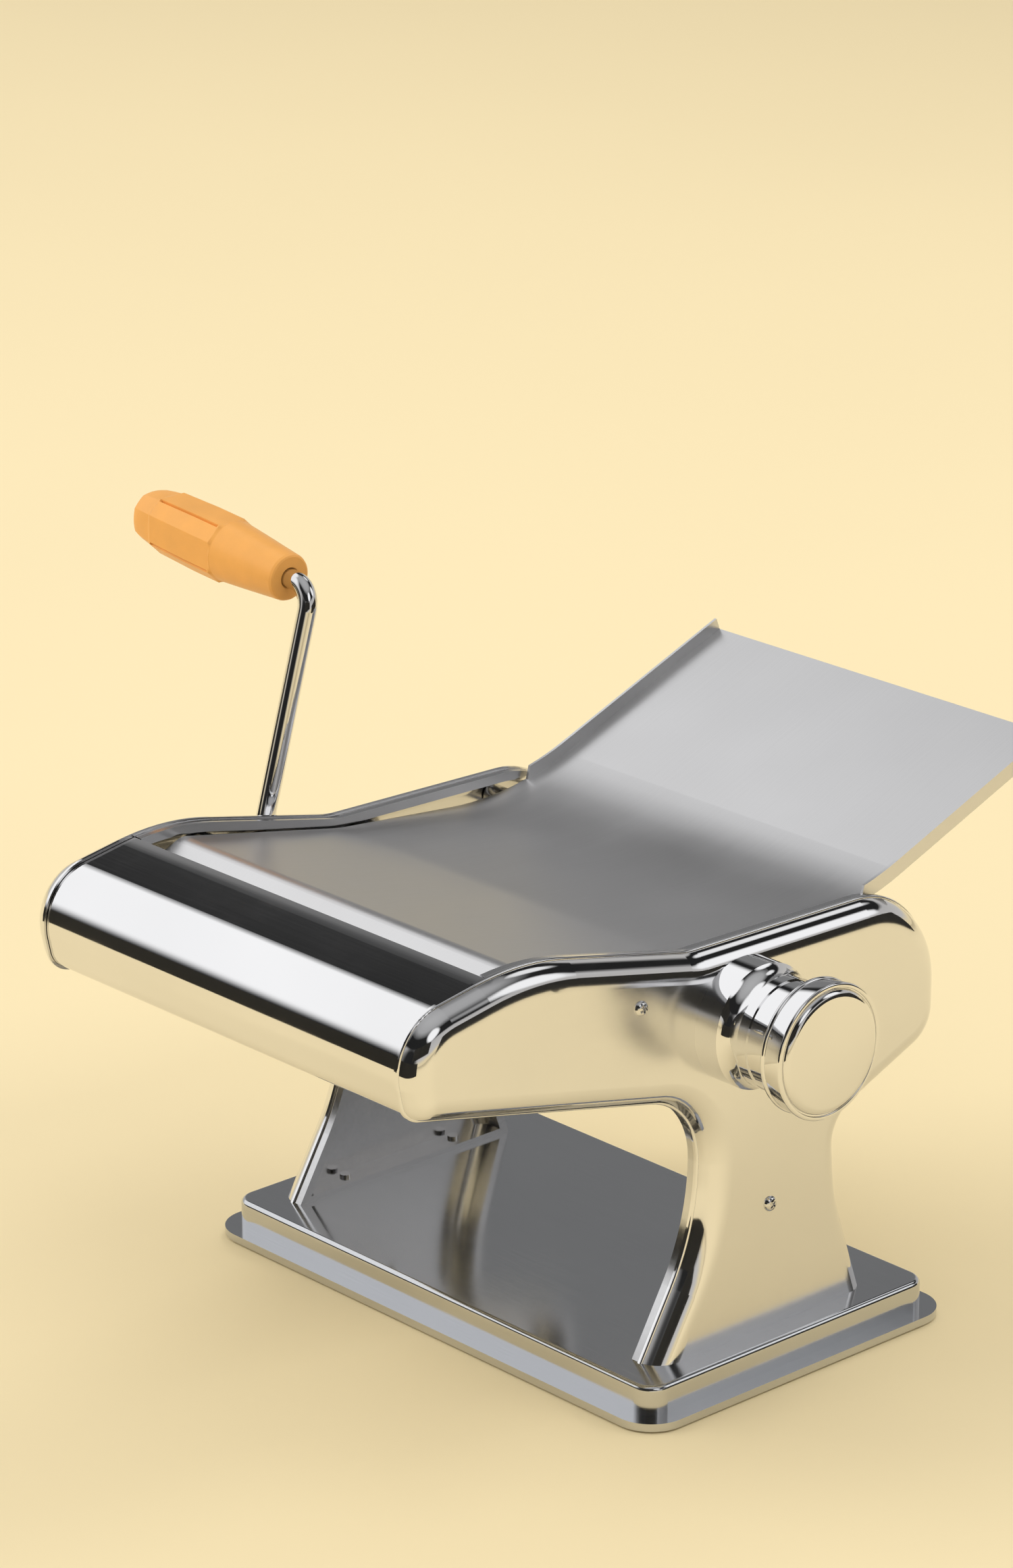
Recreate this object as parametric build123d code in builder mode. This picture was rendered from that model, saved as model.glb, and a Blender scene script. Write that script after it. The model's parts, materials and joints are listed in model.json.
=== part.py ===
"""Hand-cranked dough roller with a noodle cutter in its nose, in millimetres.

+X points to the knob side, -Y to the cutter nose and +Z up. The origin is the
middle of the base, on the surface that the machine stands on.
"""

import os
from math import asin, atan2, cos, degrees, radians, sin, tan

from build123d import *

os.makedirs("parts", exist_ok=True)

# Fits
running_fit = 0.04
seat_fit = 0.02
clear = 0.3

# Widths across X, from the rollers out to the casing faces
roller_length = 150.0
end_space = 19.8
frame_sheet = 2.0
casing_wall = 1.2
casing_depth = 9.0
casing_round = 8.6
bead_reach = 0.7
bead_width = 1.6
frame_show = 3.5
band_edge = 0.5
nest_gap = 0.15
frame_in_x = roller_length / 2 + end_space
web_x = frame_in_x + frame_sheet
face_x = web_x + casing_wall
rim_x = face_x - casing_depth
frame_edge_x = rim_x - frame_show

# Base
deck_margin = 10.0
deck_depth = 134.0
deck_top = 14.0
deck_corner = 8.0
deck_edge = 1.8
base_sheet = 1.6
flange_reach = 6.0
flange_thick = 2.8
foot_lift = 0.8
foot_radius = 8.0
foot_inset = 13.0
deck_width = 2 * (face_x + deck_margin)
flange_width = deck_width + 2 * flange_reach
flange_depth = deck_depth + 2 * flange_reach

# Side outline: the corners of the casing seen from the side, in Y and Z
nose_y = -165.0
nose_drop = 9.7
nose_round = 20.0
crest_y = -109.0
crest_z = 172.5
crest_round = 100.0
dip_y = -35.0
dip_drop = 16.5
dip_round = 30.0
rear_y = 79.8
rear_drop = 18.9
rear_round = 36.0
rear_height = 54.6
rear_low_round = 16.0
leg_back_y = 31.5
leg_back_fall = 20.0
leg_back_round = 12.0
waist_back_y = 33.5
waist_back_z = 52.0
waist_back_round = 70.0
foot_back_y = 46.5
foot_front_y = -54.0
waist_front_y = -28.9
waist_front_z = 57.0
waist_front_round = 84.0
leg_front_y = -28.9
belly_fall = 28.9
leg_front_round = 28.0
nose_low_y = -158.3
nose_height = 31.4
nose_low_round = casing_round + 0.9
foot_sink = 30.0
foot_round = 12.0
least_side = 0.1
nose_top_z = crest_z - nose_drop
nose_low_z = nose_top_z - nose_height
leg_front_z = nose_low_z - belly_fall
dip_z = crest_z - dip_drop
rear_top_z = crest_z - rear_drop
rear_low_z = rear_top_z - rear_height
leg_back_z = rear_low_z - leg_back_fall

# Smooth rollers: the rear one rides on an eccentric shaft turned by the knob
roller_radius = 16.0
least_gap = 0.3
eccentric = 1.25
knob_set_back = 18.0
roller_drop = 25.5
knob_y = dip_y + knob_set_back
roller_z = dip_z - roller_drop
roller_spacing = 2 * roller_radius + least_gap + eccentric
front_y = knob_y - roller_spacing
rear_roller_y = knob_y + eccentric
journal_radius = 7.0
shaft_radius = 6.0
cam_radius = 8.0
bush_wall = 3.0
bush_length = 15.0

# Gears, in the space between the rollers and the left frame
gear_teeth = 10
gear_face = 6.0
gear_gap = 3.5
tooth_reach = 2.2
tooth_depth = 4.4
tooth_tip = 1.6
tooth_root = 4.4
hub_wall = 4.0

# Noodle cutters
cutter_radius = 13.0
cutter_groove = 2.6
cutter_overlap = 1.6
strand_width = 6.5
strand_gap = 0.3
cutter_set_back = 35.0
cutter_drop = 25.5
cutter_nip_y = nose_y + cutter_set_back
cutter_z = crest_z - cutter_drop
cutter_journal = 6.0
cutter_spacing = 2 * cutter_radius - cutter_overlap
cutter_front_y = cutter_nip_y - cutter_spacing / 2
cutter_rear_y = cutter_nip_y + cutter_spacing / 2
cutter_reach = 2.1
cutter_depth = 2.7
cutter_tip = 1.6
cutter_root = 4.0

# Bearings in the frames
bearing_wall = 2.5
bearing_lip = 1.5
bearing_lip_width = 1.8
bearing_proud = 0.6

# Combs and scrapers below the rollers
comb_bar = 2.8
comb_finger = 5.0
comb_thick = 2.0
comb_front_angle = -136.0
comb_rear_angle = -75.0
comb_end_gap = 0.5
scraper_bar = 4.0
scraper_thick = 1.2
scraper_front_angle = -165.0
scraper_rear_angle = -50.0

# Front cover and feed tray
cover_inset = 0.3
cover_drop = casing_wall + nest_gap
slot_width = 6.0
tray_sheet = 1.0
tray_side_gap = 1.5
tray_crest_drop = 5.2
tray_crest_shift = 3.0
tray_tip_shift = 7.5
tray_tip_drop = 10.0
tray_dip_drop = 3.0
tray_valley_y = 46.0
tray_valley_drop = 10.5
tray_angle = 21.5
tray_length = 112.0
tray_tip_round = 8.0
tray_dip_bend = 60.0
tray_valley_bend = 120.0
lip_height = 4.5
lip_start = 6.0
lip_taper = 14.0
tray_half = frame_edge_x - tray_side_gap

# Tie rods
rod_radius = 4.0
spigot_radius = 2.0
rod_shoulder_gap = 0.5
front_rod_back = 18.0
lower_rod_y = 8.0
lower_rod_drop = 32.5
lower_rod_z = roller_z - lower_rod_drop

# Screws
upper_screw_ahead = 28.3
upper_screw_drop = 9.8
leg_screw_y = -2.2
leg_screw_z = 59.3
screw_head_radius = 2.7
screw_head_height = 1.7
screw_radius = 1.5
screw_reach = 1.5
foot_screw_front_y = -28.0
foot_screw_rear_y = 24.0
foot_screw_radius = 2.0
foot_head_radius = 3.8
foot_head_height = 2.0
foot_screw_reach = 1.0

# Knob and its boss
boss_radius = 21.8
boss_length = 10.0
boss_cove = 7.0
neck_radius = 19.4
neck_step = 0.5
neck_collar = 4.0
neck_length = 14.0
knob_radius = 23.5
knob_taper = 0.8
knob_thick = 10.7
knob_bead = 0.6
knob_bead_width = 2.0
knob_edge = 1.4
knob_ring = 2.3
knob_groove = 1.6
knob_groove_depth = 1.0
knob_dome = 0.8
knob_hub_radius = 10.0
knob_hub_length = 12.0
pin_circle = 13.5
pin_radius = 1.2
pin_length = 2.8
pin_groove_depth = 4.0
pin_side_gap = 0.3

# Crank
rod_wire = 3.5
socket_gap = 0.1
socket_depth = 17.8
blade_length = 4.0
blade_thick = 2.4
blade_width = 6.6
blade_gap = 0.2
crank_offset = 15.0
crank_arm = 105.0
crank_lean = 15.8
crank_splay = 4.5
crank_bend = 9.0
grip_start = 12.0
grip_length = 80.0
grip_sides = 8
grip_end_radius = 9.2
grip_radius = 12.4
grip_tail_radius = 10.2
grip_cone = 33.0
grip_tail = 12.0
grip_edge = 1.4
cap_radius = 6.0
cap_depth = 3.0
cap_gap = 0.4

# The boss, knob and shaft stations along X that follow from the sizes above
boss_end_x = face_x + boss_length
neck_x = boss_end_x + boss_cove
neck_end_x = neck_x + neck_length
knob_x = neck_end_x + clear
knob_face_x = knob_x + knob_thick
hub_x = knob_x - knob_hub_length
gear_end_x = -(frame_in_x - gear_gap)
gear_start_x = gear_end_x + gear_face
shaft_end_x = -(web_x - clear)
journal_end_x = -(face_x - clear)

# Where the screws sit: those of the casings in Y and Z, those of the feet in X and Y
upper_screw = (dip_y - upper_screw_ahead, dip_z - upper_screw_drop)
casing_screw_spots = (upper_screw, (leg_screw_y, leg_screw_z))
foot_screw_x = (frame_edge_x + web_x) / 2
foot_screw_y = (foot_screw_front_y, foot_screw_rear_y)
foot_screw_spots = [(side * foot_screw_x, y) for side in (-1, 1) for y in foot_screw_y]

# The leg's edges run on straight below the deck, where the sides are cut off level
back_flare = (foot_back_y - waist_back_y) / (waist_back_z - deck_top)
front_flare = (foot_front_y - waist_front_y) / (waist_front_z - deck_top)
side_outline = (
    (nose_y, nose_top_z, nose_round),
    (crest_y, crest_z, crest_round),
    (dip_y, dip_z, dip_round),
    (rear_y, rear_top_z, rear_round),
    (rear_y, rear_low_z, rear_low_round),
    (leg_back_y, leg_back_z, leg_back_round),
    (waist_back_y, waist_back_z, waist_back_round),
    (foot_back_y + foot_sink * back_flare, deck_top - foot_sink, foot_round),
    (foot_front_y + foot_sink * front_flare, deck_top - foot_sink, foot_round),
    (waist_front_y, waist_front_z, waist_front_round),
    (leg_front_y, leg_front_z, leg_front_round),
    (nose_low_y, nose_low_z, nose_low_round),
)


def fitted_rounds(corners):
    """The roundings of a closed outline's corners, each limited to what its two sides have room for."""
    points = [Vector(y, z) for y, z, _ in corners]
    sides = [points[spot] - points[spot - 1] for spot in range(len(points))]
    onward = sides[1:] + sides[:1]
    turns = [before.get_angle(after) for before, after in zip(sides, onward)]
    needs = [bend * tan(radians(turn) / 2) for (_, _, bend), turn in zip(corners, turns)]
    shares = [(side.length - least_side) / (needs[spot - 1] + needs[spot]) for spot, side in enumerate(sides)]
    following = shares[1:] + shares[:1]
    return [bend * min(1, before, after) for (_, _, bend), before, after in zip(corners, shares, following)]


def outline_face(inset):
    """The side outline as a face in local X and Y, drawn in all round by inset."""
    with BuildSketch() as face:
        with BuildLine():
            FilletPolyline(
                *[(y, z) for y, z, _ in side_outline],
                radius=fitted_rounds(side_outline),
                close=True,
            )
        make_face()
        if inset:
            offset(amount=-inset, kind=Kind.INTERSECTION)
    return face.sketch_local


def side_block(side, inset, open_x, closed_x, rounding, low_z):
    """A solid of the side outline, rounded at its outer face and cut off level at low_z."""
    with BuildPart() as block:
        with BuildSketch(Plane.YZ.offset(side * open_x)):
            add(outline_face(inset))
        extrude(amount=side * (closed_x - open_x))
        outer = block.faces().filter_by(Axis.X).sort_by(Axis.X)[-1 if side > 0 else 0]
        fillet(outer.edges(), rounding)
        split(bisect_by=Plane.XY.offset(low_z), keep=Keep.TOP)
    return block.part


def turned(x_from, x_to, radius, at, mode=Mode.ADD):
    """A round bar or bore along X in the part being built."""
    with BuildSketch(Plane.YZ.offset(x_from)) as section:
        with Locations(at):
            Circle(radius)
    extrude(section.sketch, amount=x_to - x_from, mode=mode)


def bar_across(at, size, turn, half_length):
    """A square bar along X, turned about its own axis."""
    with BuildSketch(Plane.YZ.offset(-half_length)) as section:
        with Locations(at):
            Rectangle(size, size, rotation=turn)
    extrude(section.sketch, amount=2 * half_length)


def polar(at, radius, angle):
    """The point at a radius and an angle, in degrees from +Y towards +Z."""
    return (at[0] + radius * cos(radians(angle)), at[1] + radius * sin(radians(angle)))


def gear_points(at, teeth, tip_radius, root_radius, tip_width, root_width, first):
    """The corners of a gear with straight-sided teeth."""
    points = []
    for tooth in range(teeth):
        middle = first + tooth * 360 / teeth
        tip = degrees(asin(tip_width / 2 / tip_radius))
        root = degrees(asin(root_width / 2 / root_radius))
        points.append(polar(at, root_radius, middle - root))
        points.append(polar(at, tip_radius, middle - tip))
        points.append(polar(at, tip_radius, middle + tip))
        points.append(polar(at, root_radius, middle + root))
    return points


def gear(at, spacing, reach, depth, tip_width, root_width, first, bore, hub=None):
    """A gear at the left ends of the rollers, with an optional hub towards the roller."""
    tip_radius = spacing / 2 + reach
    root_radius = spacing / 2 - depth
    points = gear_points(at, gear_teeth, tip_radius, root_radius, tip_width, root_width, first)
    with BuildPart() as wheel:
        with BuildSketch(Plane.YZ.offset(gear_end_x)):
            with BuildLine():
                Polyline(*points, close=True)
            make_face()
        extrude(amount=gear_face)
        if hub:
            turned(gear_start_x, -roller_length / 2, hub, at)
        turned(gear_end_x, -roller_length / 2, bore, at, mode=Mode.SUBTRACT)
    return wheel.part


def bearing(side, at, journal, end_x):
    """A flanged bush in a side frame, from its inner lip out to end_x."""
    lip_x = frame_in_x - bearing_lip_width
    with BuildPart() as bush:
        turned(side * lip_x, side * frame_in_x, journal + bearing_wall + bearing_lip, at)
        turned(side * frame_in_x, side * end_x, journal + bearing_wall - seat_fit, at)
        turned(side * lip_x, side * end_x, journal + running_fit, at, mode=Mode.SUBTRACT)
    return bush.part


def bearing_hole(side, at, journal, x_from, x_to):
    """The hole for a bush in the part being built."""
    turned(side * x_from, side * x_to, journal + bearing_wall, at, mode=Mode.SUBTRACT)


front_axis = (front_y, roller_z)
knob_axis = (knob_y, roller_z)
rear_axis = (rear_roller_y, roller_z)
cutter_front_axis = (cutter_front_y, cutter_z)
cutter_rear_axis = (cutter_rear_y, cutter_z)

# Feed tray floor: from the cutter slot over the crest, down through the dip and up to the rear
tray_tip = Vector(crest_y - tray_tip_shift, crest_z - tray_tip_drop)
tray_crest = Vector(crest_y + tray_crest_shift, crest_z - tray_crest_drop)
tray_dip = Vector(dip_y, dip_z - tray_dip_drop)
tray_valley = Vector(tray_valley_y, dip_z - tray_valley_drop)
tray_rise = Vector(cos(radians(tray_angle)), sin(radians(tray_angle)))
tray_end = tray_valley + tray_rise * tray_length
tray_path = (tray_tip, tray_crest, tray_dip, tray_valley, tray_end)
tray_bends = (tray_tip_round, tray_dip_bend, tray_valley_bend)

# The part of the side outline that the front cover takes up
cover_rear_y = tray_tip.X - slot_width
cover_foot_y = nose_low_y + nose_low_round


def cover_corners(margin):
    """Corners round the part of the side outline that the front cover takes up."""
    return (
        (cover_rear_y + margin, cutter_z),
        (cover_rear_y + margin, crest_z + margin),
        (nose_y - margin, crest_z + margin),
        (nose_y - margin, deck_top),
        (cover_foot_y + margin, deck_top),
        (cover_foot_y + margin, cutter_z),
    )


# The two tie rods that the tray rests on lie square below its floor
rest_depth = tray_sheet + clear + rod_radius
fall = (tray_dip - tray_crest).normalized()
front_rod = tray_crest + fall * front_rod_back + Vector(fall.Y, -fall.X) * rest_depth
run = (tray_valley - tray_dip).normalized()
crown = (tray_rise - run).normalized()
half_turn = (atan2(tray_rise.Y, tray_rise.X) - atan2(run.Y, run.X)) / 2
rear_rod = tray_valley + crown * (tray_valley_bend / cos(half_turn) - tray_valley_bend - rest_depth)
tie_rods = {
    "tie_rod_front": (front_rod.X, front_rod.Y),
    "tie_rod_rear": (rear_rod.X, rear_rod.Y),
    "tie_rod_lower": (lower_rod_y, lower_rod_z),
}

pieces = {}

# Base: a pressed tray with a flat deck, hollow below
with BuildPart() as base_plate:
    with BuildSketch(Plane.XY.offset(foot_lift)):
        RectangleRounded(deck_width, deck_depth, deck_corner)
    extrude(amount=deck_top - foot_lift)
    fillet(base_plate.faces().sort_by(Axis.Z)[-1].edges(), deck_edge)
    with BuildSketch(Plane.XY.offset(foot_lift)):
        RectangleRounded(flange_width, flange_depth, deck_corner + flange_reach)
    extrude(amount=flange_thick)
    with BuildSketch(Plane.XY.offset(foot_lift)):
        RectangleRounded(deck_width - 2 * base_sheet, deck_depth - 2 * base_sheet, deck_corner - base_sheet)
    extrude(amount=deck_top - foot_lift - base_sheet, mode=Mode.SUBTRACT)
    with BuildSketch(Plane.XY.offset(deck_top - base_sheet)):
        with Locations(*foot_screw_spots):
            Circle(foot_screw_radius + seat_fit)
    extrude(amount=base_sheet, mode=Mode.SUBTRACT)
pieces["base_plate"] = base_plate.part

with BuildPart() as rubber_feet:
    with BuildSketch():
        with GridLocations(deck_width - 2 * foot_inset, deck_depth - 2 * foot_inset, 2, 2):
            Circle(foot_radius)
    extrude(amount=deck_top - base_sheet)
pieces["rubber_feet"] = rubber_feet.part

with BuildPart() as foot_screws:
    with BuildSketch(Plane.XY.offset(deck_top - base_sheet - foot_head_height)):
        with Locations(*foot_screw_spots):
            Circle(foot_head_radius)
    extrude(amount=foot_head_height)
    with BuildSketch(Plane.XY.offset(deck_top - base_sheet)):
        with Locations(*foot_screw_spots):
            Circle(foot_screw_radius)
    extrude(amount=base_sheet + frame_sheet + foot_screw_reach)
pieces["foot_screws"] = foot_screws.part


def frame_band(side):
    """The part of a frame's rim that shows beside the casing, level with it and clear of the cover."""
    with BuildPart() as band:
        add(side_block(side, 0, frame_edge_x, rim_x - nest_gap, band_edge, deck_top))
        with BuildSketch(Plane.YZ.offset(side * frame_edge_x)):
            with BuildLine():
                Polyline(*cover_corners(clear), close=True)
            make_face()
        extrude(amount=side * frame_show, mode=Mode.SUBTRACT)
    return band.part


def side_frame(side):
    """The pressed inner frame: a web inside the casing with a rim turned towards the rollers."""
    nest = casing_wall + nest_gap
    core = nest + frame_sheet
    outer = side_block(side, nest, frame_edge_x, web_x, casing_round - nest, deck_top)
    inner = side_block(side, core, frame_edge_x, frame_in_x, casing_round - core, deck_top + frame_sheet)
    with BuildPart() as frame:
        add(outer)
        add(frame_band(side))
        add(inner, mode=Mode.SUBTRACT)
        bearing_hole(side, front_axis, journal_radius, frame_in_x, web_x)
        bearing_hole(side, knob_axis, shaft_radius, frame_in_x, web_x)
        bearing_hole(side, cutter_front_axis, cutter_journal, frame_in_x, web_x)
        bearing_hole(side, cutter_rear_axis, cutter_journal, frame_in_x, web_x)
        for spot in tie_rods.values():
            seat_x = frame_in_x - rod_radius
            turned(side * seat_x, side * frame_in_x, rod_radius + clear, spot, mode=Mode.SUBTRACT)
            turned(side * frame_in_x, side * web_x, spigot_radius + seat_fit, spot, mode=Mode.SUBTRACT)
        for spot in casing_screw_spots:
            turned(side * frame_in_x, side * web_x, screw_radius + seat_fit, spot, mode=Mode.SUBTRACT)
        with BuildSketch(Plane.XY.offset(deck_top)):
            with Locations(*[(side * foot_screw_x, y) for y in foot_screw_y]):
                Circle(foot_screw_radius + seat_fit)
        extrude(amount=frame_sheet, mode=Mode.SUBTRACT)
    return frame.part


def side_casing(side):
    """The polished pillow-edged casing with a bead round its open rim."""
    outer = side_block(side, 0, rim_x, face_x, casing_round, deck_top)
    bead = side_block(side, -bead_reach, rim_x, rim_x + bead_width, bead_reach, deck_top)
    inner = side_block(side, casing_wall, rim_x, web_x, casing_round - casing_wall, deck_top)
    with BuildPart() as casing:
        add(outer)
        add(bead)
        add(inner, mode=Mode.SUBTRACT)
        for spot in casing_screw_spots:
            turned(side * web_x, side * face_x, screw_radius + seat_fit, spot, mode=Mode.SUBTRACT)
        if side > 0:
            turned(web_x, face_x, shaft_radius + clear, knob_axis, mode=Mode.SUBTRACT)
        else:
            bearing_hole(side, front_axis, journal_radius, web_x, face_x)
            bearing_hole(side, cutter_rear_axis, cutter_journal, web_x, face_x)
    return casing.part


def casing_screws(side):
    """The two dome-headed screws that hold a casing to its frame."""
    with BuildPart() as screws:
        for spot in casing_screw_spots:
            turned(side * face_x, side * (face_x + screw_head_height), screw_head_radius, spot)
        fillet(screws.edges().group_by(Axis.X)[-1 if side > 0 else 0], screw_head_height - seat_fit)
        for spot in casing_screw_spots:
            turned(side * face_x, side * (frame_in_x - screw_reach), screw_radius, spot)
    return screws.part


for side, hand in ((-1, "left"), (1, "right")):
    pieces[f"side_frame_{hand}"] = side_frame(side)
    pieces[f"side_casing_{hand}"] = side_casing(side)
    pieces[f"casing_screws_{hand}"] = casing_screws(side)

# Front cover: a bent sheet over the nose, from its lower edge round to the cutter slot
cover_half = rim_x - clear
with BuildPart() as front_cover:
    with BuildSketch(Plane.YZ.offset(-cover_half)):
        add(outline_face(cover_inset))
        add(outline_face(cover_drop), mode=Mode.SUBTRACT)
        with BuildLine():
            Polyline(*cover_corners(0), close=True)
        make_face(mode=Mode.INTERSECT)
    extrude(amount=2 * cover_half)
pieces["front_cover"] = front_cover.part


def tray_band(height):
    """The strip on one side of the tray's floor line, as a face in local X and Y."""
    with BuildSketch() as band:
        with BuildLine():
            FilletPolyline(*[(point.X, point.Y) for point in tray_path], radius=tray_bends)
            offset(amount=abs(height), side=Side.LEFT if height > 0 else Side.RIGHT)
        make_face()
    return band.sketch_local


# Feed tray: one bent sheet with upright lips along its free rear part
lip_y = tray_valley_y + lip_start
with BuildPart() as feed_tray:
    with BuildSketch(Plane.YZ.offset(-tray_half)):
        add(tray_band(-tray_sheet))
    extrude(amount=2 * tray_half)
    with BuildSketch(Plane.YZ.offset(-tray_half)):
        add(tray_band(lip_height))
        with BuildLine():
            Polyline(
                (lip_y, tray_valley.Y - tray_sheet),
                (lip_y + lip_taper, tray_end.Y + 2 * lip_height),
                (tray_end.X + lip_height, tray_end.Y + 2 * lip_height),
                (tray_end.X + lip_height, tray_valley.Y - tray_sheet),
                close=True,
            )
        make_face(mode=Mode.INTERSECT)
    extrude(amount=tray_sheet)
    mirror(about=Plane.YZ)
pieces["feed_tray"] = feed_tray.part

# Tie rods, riveted through the webs of both frames
for name, spot in tie_rods.items():
    with BuildPart() as tie_rod:
        turned(rod_shoulder_gap - frame_in_x, frame_in_x - rod_shoulder_gap, rod_radius, spot)
        turned(clear - web_x, web_x - clear, spigot_radius, spot)
    pieces[name] = tie_rod.part


def drive_socket(at, mouth_x):
    """The round crank socket with a slot at its bottom, cut in the part being built."""
    bottom_x = mouth_x + socket_depth
    turned(mouth_x, bottom_x, rod_wire + socket_gap, at, mode=Mode.SUBTRACT)
    with BuildSketch(Plane.YZ.offset(bottom_x)) as slot:
        with Locations(at):
            Rectangle(blade_thick + 2 * blade_gap, blade_width + 2 * blade_gap)
    extrude(slot.sketch, amount=blade_length + clear, mode=Mode.SUBTRACT)


# Front smooth roller, driven by the crank
with BuildPart() as roller_front:
    turned(-roller_length / 2, roller_length / 2, roller_radius, front_axis)
    turned(journal_end_x, -shaft_end_x, journal_radius, front_axis)
    drive_socket(front_axis, journal_end_x)
pieces["roller_front"] = roller_front.part

# Eccentric shaft through the rear roller
with BuildPart() as eccentric_shaft:
    turned(-(frame_in_x - bearing_lip_width - clear), roller_length / 2 + gear_face, cam_radius, rear_axis)
    turned(shaft_end_x, knob_x + knob_thick / 2, shaft_radius, knob_axis)
pieces["eccentric_shaft"] = eccentric_shaft.part

# Bushes that carry the rear roller on the eccentric
bush_radius = cam_radius + bush_wall
with BuildPart() as roller_bushes:
    for side in (-1, 1):
        turned(side * roller_length / 2, side * (roller_length / 2 - bush_length), bush_radius, rear_axis)
    turned(-roller_length / 2, roller_length / 2, cam_radius + running_fit, rear_axis, mode=Mode.SUBTRACT)
pieces["roller_bushes"] = roller_bushes.part

with BuildPart() as roller_rear:
    turned(-roller_length / 2, roller_length / 2, roller_radius, rear_axis)
    turned(-roller_length / 2, roller_length / 2, bush_radius + running_fit, rear_axis, mode=Mode.SUBTRACT)
pieces["roller_rear"] = roller_rear.part

# Roller gears: in mesh at rest, a tooth of the front one in a gap of the rear one
gap_turn = 180 - 180 / gear_teeth
roller_gear = (roller_spacing, tooth_reach, tooth_depth, tooth_tip, tooth_root)
pieces["roller_gear_front"] = gear(front_axis, *roller_gear, 0, journal_radius + seat_fit)
pieces["roller_gear_rear"] = gear(rear_axis, *roller_gear, gap_turn, bush_radius, hub=bush_radius + hub_wall)

# Cutters: the discs of one run in the grooves of the other
disc_width = strand_width - strand_gap
rear_discs = int(roller_length // (2 * strand_width)) + 1
front_discs = rear_discs - 1


def cutter(at, discs):
    """A cutter roller with its discs, without its socket."""
    with BuildPart() as roller:
        turned(-roller_length / 2, roller_length / 2, cutter_radius - cutter_groove, at)
        for disc in range(discs):
            middle = (disc - (discs - 1) / 2) * 2 * strand_width
            turned(middle - disc_width / 2, middle + disc_width / 2, cutter_radius, at)
    return roller.part


with BuildPart() as cutter_rear:
    add(cutter(cutter_rear_axis, rear_discs))
    turned(journal_end_x, -shaft_end_x, cutter_journal, cutter_rear_axis)
    drive_socket(cutter_rear_axis, journal_end_x)
pieces["cutter_rear"] = cutter_rear.part

with BuildPart() as cutter_front:
    add(cutter(cutter_front_axis, front_discs))
    turned(shaft_end_x, -shaft_end_x, cutter_journal, cutter_front_axis)
pieces["cutter_front"] = cutter_front.part

cutter_gear = (cutter_spacing, cutter_reach, cutter_depth, cutter_tip, cutter_root)
pieces["cutter_gear_front"] = gear(cutter_front_axis, *cutter_gear, 0, cutter_journal + seat_fit)
pieces["cutter_gear_rear"] = gear(cutter_rear_axis, *cutter_gear, gap_turn, cutter_journal + seat_fit)

# Bearings in the frames; those of the two sockets come out through the left casing
proud_x = face_x + bearing_proud
pieces["roller_bearings"] = Compound(
    children=[
        bearing(-1, front_axis, journal_radius, proud_x),
        bearing(1, front_axis, journal_radius, web_x),
    ]
)
pieces["shaft_bearings"] = Compound(
    children=[
        bearing(-1, knob_axis, shaft_radius, web_x),
        bearing(1, knob_axis, shaft_radius, web_x),
    ]
)
pieces["cutter_bearings"] = Compound(
    children=[
        bearing(-1, cutter_front_axis, cutter_journal, web_x),
        bearing(1, cutter_front_axis, cutter_journal, web_x),
        bearing(-1, cutter_rear_axis, cutter_journal, proud_x),
        bearing(1, cutter_rear_axis, cutter_journal, web_x),
    ]
)


def comb(at, angle, discs, half_length):
    """A bar beside a cutter with a finger in each of its grooves."""
    tip = cutter_radius - cutter_groove + clear
    bar = cutter_spacing / 2 + cutter_reach + clear + comb_bar
    with BuildPart() as rake:
        bar_across(polar(at, bar, angle), comb_bar, angle, half_length)
        for groove in range(discs + 1):
            middle = (groove - discs / 2) * 2 * strand_width
            with BuildSketch(Plane.YZ.offset(middle - comb_finger / 2)):
                with Locations(polar(at, (tip + bar) / 2, angle)):
                    Rectangle(bar - tip, comb_thick, rotation=angle)
            extrude(amount=comb_finger)
    return rake.part


# The front comb is fixed inside the cover's lower bend, the rear one between the frames
pieces["cutter_comb_front"] = comb(cutter_front_axis, comb_front_angle, front_discs, tray_half)
comb_rear_half = frame_in_x - comb_end_gap
pieces["cutter_comb_rear"] = comb(cutter_rear_axis, comb_rear_angle, rear_discs - 2, comb_rear_half)


def scraper(at, angle, sway):
    """A bar beside a smooth roller with a blade that reaches to its surface."""
    tip = roller_radius + sway + clear
    bar = roller_spacing / 2 + tooth_reach + sway + clear + scraper_bar
    half_blade = roller_length / 2 - clear
    with BuildPart() as blade:
        bar_across(polar(at, bar, angle), scraper_bar, angle, frame_in_x)
        with BuildSketch(Plane.YZ.offset(-half_blade)):
            with Locations(polar(at, (tip + bar) / 2, angle)):
                Rectangle(bar - tip, scraper_thick, rotation=angle)
        extrude(amount=2 * half_blade)
    return blade.part


pieces["scraper_front"] = scraper(front_axis, scraper_front_angle, 0)
pieces["scraper_rear"] = scraper(knob_axis, scraper_rear_angle, eccentric)

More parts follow.
